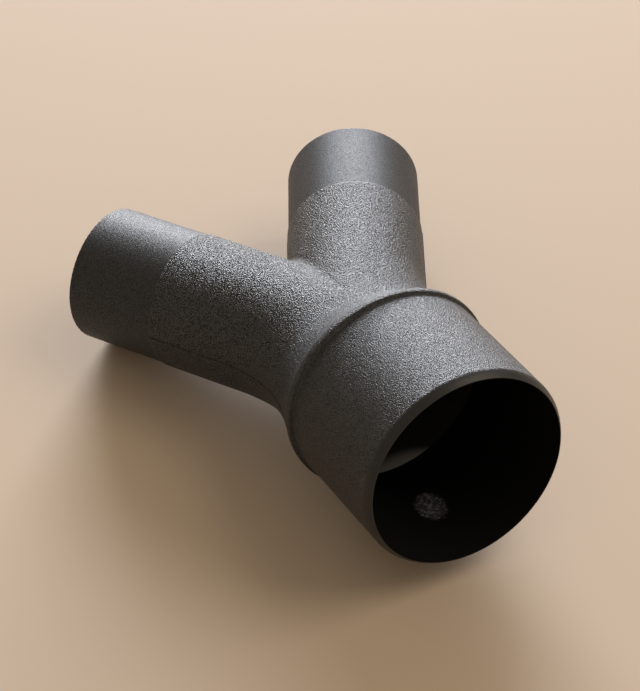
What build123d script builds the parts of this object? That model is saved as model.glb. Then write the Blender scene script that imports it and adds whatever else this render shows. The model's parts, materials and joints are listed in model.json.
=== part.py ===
"""Two-way duct splitter: a one-piece moulded wye with a large collar and two smaller spigots.

The fitting is drawn in its own axes: X runs from the collar's mouth along the main axis, the three axes
lie in the XY plane, and Z is square to them. It is then laid down as it rests on a flat surface, on the
bottom of its shoulder and on the two spigot tips. Sizes are in millimetres.
"""

import os
from math import asin, atan, cos, degrees, radians, sin, sqrt, tan

from build123d import *

# Collar, which takes a hose or duct of 100 mm
collar_radius = 50.0
collar_length = 67.9
collar_wall = 3.1
mouth_wall = 2.4
lip_length = 3.2
lip_drop = 2.1
lip_round = 5.0

# Shoulder, which stops a hose on the collar
shoulder_height = 1.6
shoulder_ramp = 2.5
shoulder_land = 2.1
shoulder_round = 3.0
bore_depth = 70.4

# Branches, each a straight sleeve that steps down to a spigot
branch_angle = 27.8
junction_from_mouth = 98.1
branch_length = 144.5
spigot_radius = 32.35
spigot_length = 47.5
spigot_wall = 2.6
spigot_round = 0.6
step_height = 0.6
step_ramp = 1.2

# Wye, which blends the branches into the shoulder and into each other
side_blend_radius = 68.0
top_blend_past_junction = 9.0
wye_wall = 3.1
crotch_round = 4.0
core_crotch_round = 2.0

# Derived sizes
angle = radians(branch_angle)
collar_bore = collar_radius - collar_wall
mouth_bore = collar_radius - mouth_wall
crest_radius = collar_radius + shoulder_height
land_start = collar_length + shoulder_ramp
wye_start = land_start + shoulder_land
spigot_bore = spigot_radius - spigot_wall
spigot_start = branch_length - spigot_length
sleeve_end = spigot_start - step_ramp
sleeve_radius = spigot_radius + step_height
top_blend_end = junction_from_mouth + top_blend_past_junction

junction = Vector(junction_from_mouth, 0, 0)
branch_axis = Axis(junction, (cos(angle), sin(angle), 0))
branch_plane = Plane(junction, x_dir=branch_axis.direction, z_dir=(0, 0, 1))


def wye_section(center, turn, outer, inner, height):
    """One closed section: two half ellipses on an upright plane turned about Z, the outer one wider."""
    plane = Plane(center, x_dir=(-sin(turn), cos(turn), 0), z_dir=(cos(turn), sin(turn), 0))
    with BuildSketch(plane) as section:
        with BuildLine():
            EllipticalCenterArc((0, 0), outer, height, start_angle=-90, arc_size=180)
            EllipticalCenterArc((0, 0), inner, height, start_angle=90, arc_size=180)
        make_face()
    return section.sketch


class Skin:
    """One skin of the wye, outside or core, from its round start at the collar to the tubes of the branches.

    Past the waist at the junction the outer side follows an arc that ends tangent to the tube, so its
    sections turn about the centre of that arc. The inner side stays on the bare tube.
    """

    shoulder_steps = 4
    turn_steps = 4

    def __init__(self, start, start_radius, tube, waist):
        self.start = start
        self.start_radius = start_radius
        self.tube = tube
        self.waist = waist
        self.blend_radius = (waist * cos(angle) - tube) / (1 - cos(angle))
        self.blend_reach = self.blend_radius + tube
        self.foot = self.blend_reach * tan(angle)

    def top(self, x):
        """Half height of a section whose highest point is at x."""
        share = max(0, (top_blend_end - x) / (top_blend_end - self.start))
        return self.tube + (self.start_radius - self.tube) * share**2

    def shoulder_sections(self):
        """Sections square to the main axis, from the round start to the waist."""
        sections = []
        for step in range(self.shoulder_steps + 1):
            left = 1 - step / self.shoulder_steps
            x = junction_from_mouth - (junction_from_mouth - self.start) * left
            side = self.waist + (self.start_radius - self.waist) * left**2
            sections.append(wye_section((x, 0, 0), 0, side, side, self.top(x)))
        return sections

    def branch_sections(self):
        """Sections that turn from the waist into one branch, as far as the foot of the blend."""
        sections = []
        for step in range(self.turn_steps + 1):
            rest = angle * (1 - step / self.turn_steps)
            distance = self.foot - self.blend_reach * tan(rest)
            center = branch_axis.position + branch_axis.direction * distance
            outer = self.blend_reach / cos(rest) - self.blend_radius
            inner = self.tube / cos(rest)
            sections.append(wye_section(center, angle - rest, outer, inner, self.top(center.X)))
        return sections


def crotch_edges(edges):
    """The run of edges in the middle plane where the two branches meet."""
    return edges.filter_by(lambda edge: edge.bounding_box().size.Y < 1e-3)


outer_waist = sleeve_radius / cos(angle) + side_blend_radius * (1 / cos(angle) - 1)
outside = Skin(wye_start, crest_radius, sleeve_radius, outer_waist)
inside = Skin(bore_depth, collar_bore, spigot_bore, outer_waist - wye_wall)

# Hollow of the fitting: the inside of the wye, the two straight bores and the collar's bore
with BuildPart() as core:
    loft(sections=inside.branch_sections())
    with BuildSketch(branch_plane):
        with BuildLine():
            Polyline(
                (inside.foot, 0),
                (inside.foot, spigot_bore),
                (branch_length + spigot_wall, spigot_bore),
                (branch_length + spigot_wall, 0),
                close=True,
            )
        make_face()
    revolve(axis=branch_axis)
    split(bisect_by=Plane.XZ, keep=Keep.BOTTOM)
    mirror(about=Plane.XZ)
    fillet(crotch_edges(core.edges()), core_crotch_round)
    loft(sections=inside.shoulder_sections())
    with BuildSketch(Plane.XY):
        with BuildLine():
            Polyline(
                (-mouth_wall, 0),
                (-mouth_wall, mouth_bore),
                (0, mouth_bore),
                (bore_depth, collar_bore),
                (bore_depth, 0),
                close=True,
            )
        make_face()
    revolve(axis=Axis.X)

# Fitting in its own axes: the two branches, the wye, and the collar with its lip and shoulder
with BuildPart() as fitting:
    loft(sections=outside.branch_sections())
    with BuildSketch(branch_plane):
        with BuildLine():
            Polyline(
                (branch_length, spigot_radius - spigot_round),
                (branch_length, 0),
                (outside.foot, 0),
                (outside.foot, sleeve_radius),
                (sleeve_end, sleeve_radius),
                (spigot_start, spigot_radius),
                (branch_length - spigot_round, spigot_radius),
            )
            tip_center = (branch_length - spigot_round, spigot_radius - spigot_round)
            CenterArc(tip_center, spigot_round, start_angle=0, arc_size=90)
        make_face()
    revolve(axis=branch_axis)
    split(bisect_by=Plane.XZ, keep=Keep.BOTTOM)
    mirror(about=Plane.XZ)
    fillet(crotch_edges(fitting.edges()), crotch_round)
    loft(sections=outside.shoulder_sections())
    with BuildSketch(Plane.XY):
        with BuildLine():
            Polyline(
                (wye_start, crest_radius),
                (wye_start, 0),
                (0, 0),
                (0, collar_radius - lip_drop),
                (lip_length, collar_radius),
                (collar_length, collar_radius),
            )
            ramp_middle = (collar_length + shoulder_ramp / 2, collar_radius + shoulder_height / 2)
            ramp_foot = TangentArc((collar_length, collar_radius), ramp_middle, tangent=(1, 0))
            TangentArc(ramp_middle, (land_start, crest_radius), tangent=ramp_foot % 1)
            Line((land_start, crest_radius), (wye_start, crest_radius))
        make_face()
    revolve(axis=Axis.X)
    crest = fitting.edges().filter_by_position(Axis.X, wye_start - 1e-3, wye_start + 1e-3)
    fillet(crest, shoulder_round)
    lip = fitting.edges().filter_by_position(Axis.X, lip_length - 1e-3, lip_length + 1e-3)
    fillet(lip, lip_round)
    add(core.part, mode=Mode.SUBTRACT)

# Tilt at which the bottom of the shoulder's crest and the spigot tips touch one flat surface
crest_slope = atan(2 * (crest_radius - sleeve_radius) / (top_blend_end - wye_start))
crest_from_mouth = wye_start - shoulder_round * tan(crest_slope / 2)
tip_from_mouth = junction_from_mouth + (branch_length - spigot_round) * cos(angle)
tilt = 0
for _ in range(20):
    crest_drop = (crest_radius - shoulder_round) * cos(tilt) + shoulder_round
    tip_drop = spigot_radius * sqrt(1 - (cos(angle) * sin(tilt)) ** 2)
    tilt = asin((crest_drop - tip_drop) / (tip_from_mouth - crest_from_mouth))
laid_down = fitting.part.rotate(Axis.Y, degrees(tilt))
footprint = laid_down.bounding_box()

# Fitting at rest, centred over the origin with its lowest points at zero height
with BuildPart() as splitter_body:
    with Locations((-footprint.center().X, 0, -footprint.min.Z)):
        add(laid_down)

os.makedirs("parts", exist_ok=True)
splitter_body.part.label = "splitter_body"
export_step(splitter_body.part, "parts/splitter_body.step")
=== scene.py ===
"""Two-way duct splitter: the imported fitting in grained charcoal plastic, on a pale floor under soft light.

Lengths are in metres in the frame's axes: the mouth faces -X, the branches point to +X, and Z is up.
"""

import json
from math import cos, radians, sin

import bmesh
import bpy
from mathutils import Matrix, Vector


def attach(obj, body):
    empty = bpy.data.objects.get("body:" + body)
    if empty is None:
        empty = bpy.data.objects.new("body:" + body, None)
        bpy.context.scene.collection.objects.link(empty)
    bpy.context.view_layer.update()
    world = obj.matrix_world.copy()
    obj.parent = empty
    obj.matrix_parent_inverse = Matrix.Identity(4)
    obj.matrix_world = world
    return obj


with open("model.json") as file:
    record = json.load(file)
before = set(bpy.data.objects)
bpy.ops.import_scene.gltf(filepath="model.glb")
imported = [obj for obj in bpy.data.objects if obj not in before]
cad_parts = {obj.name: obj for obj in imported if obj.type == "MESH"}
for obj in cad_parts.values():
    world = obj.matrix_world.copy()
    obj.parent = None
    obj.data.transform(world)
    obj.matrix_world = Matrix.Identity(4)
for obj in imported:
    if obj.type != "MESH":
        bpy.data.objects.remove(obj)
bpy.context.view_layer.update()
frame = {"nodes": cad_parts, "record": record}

mm = 0.001
across = Vector((0, 1, 0))
up = Vector((0, 0, 1))

# Zones of the surface, measured from the mouth along the main axis
lip_length = 4.7 * mm
lip_fade = 2 * mm
bore_depth = 70.4 * mm
wye_from_mouth = 72.5 * mm
parting_from_mouth = 74 * mm
junction_from_mouth = 98.1 * mm

# Widths over which one zone changes into the next, to either side of its edge
sharp_blend = 0.1 * mm
step_blend = 0.4 * mm
wye_blend = 1 * mm

# How far a surface has to face its axis to count as inside
inside_facing = (-0.1, -0.3)

# Moulded grain, coarsest from the shoulder to the steps
wye_grain_size = 0.52 * mm
wye_grain_height = 0.58 * mm
collar_grain_size = 0.45 * mm
collar_grain_height = 0.42 * mm
spigot_grain_size = 0.4 * mm
spigot_grain_height = 0.14 * mm
smooth_grain_height = 0.03 * mm

# Levels of the sand between which the grain rises from valley to peak
wye_peaks = (0.36, 0.64)
collar_peaks = (0.3, 0.7)
spigot_peaks = (0.25, 0.75)
smooth_peaks = 0.5

# Ridge where the halves of the mould met, from its middle to each corner of its section
parting_ridge = 0.26 * mm

# Scar in the bottom of the collar's bore
scar_from_mouth = 38 * mm
scar_length = 21 * mm
scar_width = 14.5 * mm
scar_edge_size = 3 * mm
scar_edge = (1.6, 1.1)
scar_below = -1 * mm
fold_size = 4.5 * mm
fold_edge = (0.05, 0.0)
fold_height = 0.3 * mm

# Painted light on the wye's bottom behind the bore: a pale patch that stands in for light falling there,
# fading deeper in
painted_light_height = 9.5 * mm
painted_light_fade = 4 * mm

# Colours
# The grain's valleys are darker than its peaks: painted shade in the pits of the grain, on top of the
# grain's own speckle
shaded_valley_colour = (0.023, 0.024, 0.027)
peak_colour = (0.029, 0.031, 0.035)
smooth_colour = (0.018, 0.018, 0.019)
# Painted shade: the bore's inside is made near black, darker than the rest of the plastic
bore_shade_colour = (0.007, 0.007, 0.007)
scar_colour = (0.045, 0.045, 0.049)
fold_colour = (0.19, 0.19, 0.205)
# Painted light: the pale colour of the lit patch on the wye's bottom
painted_light_colour = (0.17, 0.17, 0.17)
# Painted shade: the parting line's ridge is near black, standing in for the thin shadow line along it
parting_shade_colour = (0.004, 0.004, 0.004)
floor_colour = (0.52, 0.41, 0.31)
world_colour = (1, 0.85, 0.66)

# Roughness of each finish
grain_roughness = 0.4
spigot_roughness = 0.5
smooth_roughness = 0.38
painted_light_roughness = 0.55
parting_roughness = 0.8
floor_roughness = 0.7

# Shine of the grain, from its valleys to its peaks; the low shine in the valleys is painted shade in the
# grain's pits
shaded_valley_shine = 0.05
collar_shine = 0.66
wye_shine = 0.74
spigot_shine = 0.52

# Floor and light
floor_size = 12
world_strength = 0.42
light_aim = Vector((0, 0, 50)) * mm

# Camera
camera_place = Vector((-862.9, 459.6, 973.9)) * mm
camera_aim = Vector((-0.4, 10.2, 45.0)) * mm
camera_roll = radians(-1.8)
lens_mm = 150.7
sensor_mm = 36.0
camera_reach = 20

mounts = {mount["name"]: mount for mount in frame["record"]["mounts"]}


def mount_axis(name):
    """Middle point, outward axis and length of a spigot or of the collar."""
    mount = mounts[name]
    return Vector(mount["pos_m"]), Vector(mount["axis"]).normalized(), mount["dims"]["length_mm"] * mm


collar_middle, collar_axis, collar_length = mount_axis("collar")
spigot_middle, spigot_axis, spigot_length = mount_axis("left_spigot")
main_axis = -collar_axis
mouth = collar_middle - main_axis * (collar_length / 2 + lip_length)
spigot_start = spigot_middle - spigot_axis * spigot_length / 2
junction = mouth + main_axis * junction_from_mouth
fitting_up = main_axis.cross(spigot_axis).normalized()


class Shader:
    """A node material with short helpers for masks and textures."""

    def __init__(self, name):
        self.material = bpy.data.materials.new(name)
        self.material.use_nodes = True
        self.nodes = self.material.node_tree.nodes
        self.surface = self.nodes["Principled BSDF"]
        geometry = self.nodes.new("ShaderNodeNewGeometry")
        self.place = geometry.outputs["Position"]
        self.normal = geometry.outputs["Normal"]

    def feed(self, socket, value):
        """Link a socket to another one, or give it a constant."""
        if isinstance(value, bpy.types.NodeSocket):
            self.material.node_tree.links.new(value, socket)
        else:
            socket.default_value = value

    def math(self, operation, *values):
        node = self.nodes.new("ShaderNodeMath")
        node.operation = operation
        for socket, value in zip(node.inputs, values):
            self.feed(socket, value)
        return node.outputs["Value"]

    def product(self, first, *others):
        for value in others:
            first = self.math("MULTIPLY", first, value)
        return first

    def vector_math(self, operation, *values):
        node = self.nodes.new("ShaderNodeVectorMath")
        node.operation = operation
        for socket, value in zip(node.inputs, values):
            self.feed(socket, value)
        return node.outputs["Value" if operation == "DOT_PRODUCT" else "Vector"]

    def to_left(self, vector):
        """The vector on the left branch that matches this one on its own branch."""
        side = self.vector_math("MULTIPLY_ADD", self.vector_math("SIGN", self.place), (0, 1, 0), (1, 0, 1))
        return self.vector_math("MULTIPLY", vector, side)

    def along(self, place, origin, axis):
        """Distance of a position from an origin, along an axis."""
        return self.vector_math("DOT_PRODUCT", self.vector_math("SUBTRACT", place, origin), axis)

    def facing(self, place, normal, origin, axis):
        """How far a surface faces away from a line: below zero where it faces the line."""
        offset = self.vector_math("SUBTRACT", place, origin)
        spoke = self.vector_math("SUBTRACT", offset, self.vector_math("PROJECT", offset, axis))
        return self.vector_math("DOT_PRODUCT", normal, self.vector_math("NORMALIZE", spoke))

    def step(self, value, start, end):
        """0 before the start and 1 past the end, with a smooth change between them."""
        node = self.nodes.new("ShaderNodeMapRange")
        node.interpolation_type = "SMOOTHSTEP"
        for name, given in (("Value", value), ("From Min", start), ("From Max", end)):
            self.feed(node.inputs[name], given)
        return node.outputs["Result"]

    def past(self, value, limit, blend):
        """0 before a limit and 1 past it, blended over a width to either side."""
        return self.step(value, limit - blend, limit + blend)

    def noise(self, size, detail=0.0, roughness=0.5):
        node = self.nodes.new("ShaderNodeTexNoise")
        self.feed(node.inputs["Vector"], self.place)
        self.feed(node.inputs["Scale"], 1 / size)
        self.feed(node.inputs["Detail"], detail)
        self.feed(node.inputs["Roughness"], roughness)
        return node.outputs["Fac"]

    def mix(self, share, first, second):
        """Blend of two values."""
        node = self.nodes.new("ShaderNodeMix")
        node.data_type = "FLOAT"
        for name, value in (("Factor", share), ("A", first), ("B", second)):
            self.feed(node.inputs[name], value)
        return node.outputs["Result"]

    def mix_colour(self, share, first, second):
        """Blend of two colours."""
        node = self.nodes.new("ShaderNodeMix")
        node.data_type = "RGBA"
        factor = [socket for socket in node.inputs if socket.name == "Factor" and socket.type == "VALUE"][0]
        self.feed(factor, share)
        for socket, colour in zip([s for s in node.inputs if s.type == "RGBA"], (first, second)):
            self.feed(socket, (*colour, 1) if isinstance(colour, tuple) else colour)
        return [socket for socket in node.outputs if socket.type == "RGBA"][0]

    def bump(self, height):
        """Raise the surface by a height in metres."""
        node = self.nodes.new("ShaderNodeBump")
        self.feed(node.inputs["Height"], height)
        self.feed(node.inputs["Distance"], 1.0)
        self.feed(node.inputs["Strength"], 1.0)
        self.feed(self.surface.inputs["Normal"], node.outputs["Normal"])


class CharcoalPlastic(Shader):
    """Moulded plastic: a sand grain outside, finer on the spigots, with a smooth lip and a smooth inside;
    with painted shade in the grain's valleys and in the bore, and painted light on the wye's bottom.
    """

    def __init__(self):
        super().__init__("charcoal plastic")
        self.find_zones()
        peaks, grain_height = self.grain()
        scar, folds = self.scar()
        # Mask of the painted light on the wye's bottom
        pale = self.painted_light_patch()
        self.bump(self.math("MULTIPLY_ADD", self.product(scar, folds), fold_height, grain_height))

        # Painted shade: the grain's valleys take a darker colour than its peaks
        colour = self.mix_colour(peaks, shaded_valley_colour, peak_colour)
        colour = self.mix_colour(self.smooth, colour, smooth_colour)
        # Painted shade: the inside of the bore takes a near-black colour
        colour = self.mix_colour(self.math("SUBTRACT", self.inside, self.past_bore), colour, bore_shade_colour)
        colour = self.mix_colour(scar, colour, self.mix_colour(folds, scar_colour, fold_colour))
        # Painted light: a pale colour on the wye's bottom behind the bore
        colour = self.mix_colour(pale, colour, painted_light_colour)
        self.feed(self.surface.inputs["Base Color"], colour)

        outer_roughness = self.mix(self.on_spigot, grain_roughness, spigot_roughness)
        smooth_or_painted_light = self.mix(pale, smooth_roughness, painted_light_roughness)
        self.feed(self.surface.inputs["Roughness"], self.mix(self.smooth, outer_roughness, smooth_or_painted_light))

        peak_shine = self.mix(self.on_spigot, self.mix(self.on_wye, collar_shine, wye_shine), spigot_shine)
        # Inside, the shine falls to zero, deepening the painted shade in the bore; on the patch of painted
        # light it rises to full
        shine = self.mix(self.inside, self.mix(peaks, shaded_valley_shine, peak_shine), pale)
        self.feed(self.surface.inputs["Specular IOR Level"], shine)

    def find_zones(self):
        """Masks of the zones, by the place along the axes and by the way the surface faces."""
        place, normal = self.to_left(self.place), self.to_left(self.normal)
        self.from_mouth = self.along(place, mouth, main_axis)
        self.on_wye = self.past(self.from_mouth, wye_from_mouth, wye_blend)
        self.past_bore = self.past(self.from_mouth, bore_depth, sharp_blend)
        self.on_spigot = self.past(self.along(place, spigot_start, spigot_axis), 0, step_blend)
        on_branch = self.past(self.along(place, junction, spigot_axis), 0, sharp_blend)
        facing = self.mix(on_branch, self.facing(place, normal, mouth, main_axis),
                          self.facing(place, normal, junction, spigot_axis))
        self.inside = self.step(facing, *inside_facing)
        on_lip = self.step(self.from_mouth, lip_length, lip_length - lip_fade)
        self.smooth = self.math("MAXIMUM", on_lip, self.inside)

    def grain(self):
        """Mask of the grain's peaks, and its height."""
        wye_sand = self.noise(wye_grain_size)
        collar_sand = self.noise(collar_grain_size)
        spigot_sand = self.noise(spigot_grain_size)
        peaks = self.mix(self.on_wye, self.step(collar_sand, *collar_peaks), self.step(wye_sand, *wye_peaks))
        peaks = self.mix(self.on_spigot, peaks, self.step(spigot_sand, *spigot_peaks))
        height = self.mix(self.on_wye, self.product(collar_sand, collar_grain_height),
                          self.product(wye_sand, wye_grain_height))
        height = self.mix(self.on_spigot, height, self.product(spigot_sand, spigot_grain_height))
        height = self.mix(self.smooth, height, self.product(spigot_sand, smooth_grain_height))
        return self.mix(self.smooth, peaks, smooth_peaks), height

    def scar(self):
        """Mask of the ragged oval of the scar, and of the thin folds in it."""
        middle = mouth + main_axis * scar_from_mouth
        length_share = self.math("DIVIDE", self.along(self.place, middle, main_axis), scar_length / 2)
        width_share = self.math("DIVIDE", self.along(self.place, middle, across), scar_width / 2)
        spread = self.math("ADD", self.math("POWER", length_share, 2.0),
                           self.math("POWER", width_share, 2.0))
        spread = self.math("ADD", spread, self.noise(scar_edge_size, 2.0))
        below = self.step(self.along(self.place, mouth, fitting_up), 0, scar_below)
        film = self.noise(fold_size, 3.0, 0.6)
        folds = self.step(self.math("ABSOLUTE", self.math("SUBTRACT", film, 0.5)), *fold_edge)
        return self.product(self.inside, below, self.step(spread, *scar_edge)), folds

    def painted_light_patch(self):
        """Mask of the painted light on the wye's bottom, which fades from the bore's end to the junction."""
        low = self.step(self.along(self.place, Vector(), up), painted_light_height, painted_light_height - painted_light_fade)
        fade = self.step(self.from_mouth, junction_from_mouth, bore_depth)
        return self.product(self.inside, self.past_bore, low, fade)


def plain(name, colour, roughness):
    """A material of one colour."""
    material = bpy.data.materials.new(name)
    material.use_nodes = True
    surface = material.node_tree.nodes["Principled BSDF"]
    surface.inputs["Base Color"].default_value = (*colour, 1)
    surface.inputs["Roughness"].default_value = roughness
    return material


def soft_box(name, azimuth, elevation, distance, size, power, colour):
    """A rectangular area lamp around the object, turned to its middle."""
    lamp = bpy.data.lights.new(name, "AREA")
    lamp.shape = "RECTANGLE"
    lamp.size, lamp.size_y = size
    lamp.energy = power
    lamp.color = colour
    box = bpy.data.objects.new(name, lamp)
    away = Vector((cos(elevation) * cos(azimuth), cos(elevation) * sin(azimuth), sin(elevation)))
    box.location = away * distance + light_aim
    box.rotation_euler = (-away).to_track_quat("-Z", "Y").to_euler()
    bpy.context.scene.collection.objects.link(box)


def on_parting_line(edge):
    """Whether an edge of the middle plane lies on the outside, between the shoulder and a spigot."""
    middle = (edge.verts[0].co + edge.verts[1].co) / 2
    normal = sum((face.normal for face in edge.link_faces), Vector())
    if middle.y < 0:
        middle.y, normal.y = -middle.y, -normal.y
    if (middle - mouth).dot(main_axis) < parting_from_mouth:
        return False
    if (middle - spigot_start).dot(spigot_axis) > 0:
        return False
    on_branch = (middle - junction).dot(spigot_axis) > 0
    offset, axis = (middle - junction, spigot_axis) if on_branch else (middle - mouth, main_axis)
    return normal.dot(offset - offset.project(axis)) > 0


def chains(edges):
    """Vertices of the edges, in runs from end to end."""
    left = set(edges)
    while left:
        edge = left.pop()
        run = list(edge.verts)
        for end in (0, -1):
            while True:
                following = [e for e in run[end].link_edges if e in left]
                if not following:
                    break
                left.remove(following[0])
                run.insert(0 if end == 0 else len(run), following[0].other_vert(run[end]))
        yield run


def parting_line(skin_mesh):
    """Thin ridge where the halves of the mould met, a diamond in section, half sunk into the surface."""
    skin = bmesh.new()
    skin.from_mesh(skin_mesh)
    bmesh.ops.remove_doubles(skin, verts=skin.verts, dist=0.001 * mm)
    everything = [*skin.verts, *skin.edges, *skin.faces]
    cut = bmesh.ops.bisect_plane(skin, geom=everything, plane_co=mouth, plane_no=fitting_up)["geom_cut"]
    skin.normal_update()
    points, faces = [], []
    for run in chains([e for e in cut if isinstance(e, bmesh.types.BMEdge) and on_parting_line(e)]):
        first = len(points)
        for vertex in run:
            out = vertex.normal - vertex.normal.project(fitting_up)
            out.normalize()
            for direction in (out, fitting_up, -out, -fitting_up):
                points.append(vertex.co + direction * parting_ridge)
        for start in range(first, len(points) - 4, 4):
            for side in range(4):
                after = (side + 1) % 4
                faces.append((start + side, start + after, start + after + 4, start + side + 4))
        faces.append(tuple(range(first, first + 4)))
        faces.append(tuple(range(len(points) - 4, len(points))))
    skin.free()
    mesh = bpy.data.meshes.new("parting_line")
    mesh.from_pydata(points, [], faces)
    ridge = bpy.data.objects.new("parting_line", mesh)
    bpy.context.scene.collection.objects.link(ridge)
    return ridge


body = frame["nodes"]["splitter_body"]
body.data.materials.clear()
body.data.materials.append(CharcoalPlastic().material)

ridge = parting_line(body.data)
# Painted shade: near-black colour on the ridge, for its shadow line
ridge.data.materials.append(plain("parting line shade", parting_shade_colour, parting_roughness))
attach(ridge, "root")

# Floor
bpy.ops.mesh.primitive_plane_add(size=floor_size)
floor = bpy.context.object
floor.name = "floor"
floor.data.materials.append(plain("pale floor", floor_colour, floor_roughness))

# Light
scene = bpy.context.scene
scene.view_settings.view_transform = "Standard"
world = bpy.data.worlds.new("studio")
world.use_nodes = True
background = world.node_tree.nodes["Background"]
background.inputs["Color"].default_value = (*world_colour, 1)
background.inputs["Strength"].default_value = world_strength
scene.world = world
soft_box("key", azimuth=radians(-28), elevation=radians(15.5), distance=5, size=(3.0, 2.6), power=500,
         colour=(0.96, 0.99, 1.06))
soft_box("side", azimuth=radians(-115), elevation=radians(50), distance=4, size=(2.5, 2.5), power=50,
         colour=(1, 0.88, 0.7))

# Camera, level and then rolled about its line of sight
camera = bpy.data.objects.new("camera", bpy.data.cameras.new("camera"))
camera.data.sensor_fit = "VERTICAL"
camera.data.sensor_height = sensor_mm
camera.data.lens = lens_mm
camera.data.clip_end = camera_reach
level = (camera_aim - camera_place).to_track_quat("-Z", "Y").to_matrix()
camera.matrix_world = Matrix.LocRotScale(camera_place, level @ Matrix.Rotation(camera_roll, 3, "Z"), None)
scene.collection.objects.link(camera)
scene.camera = camera
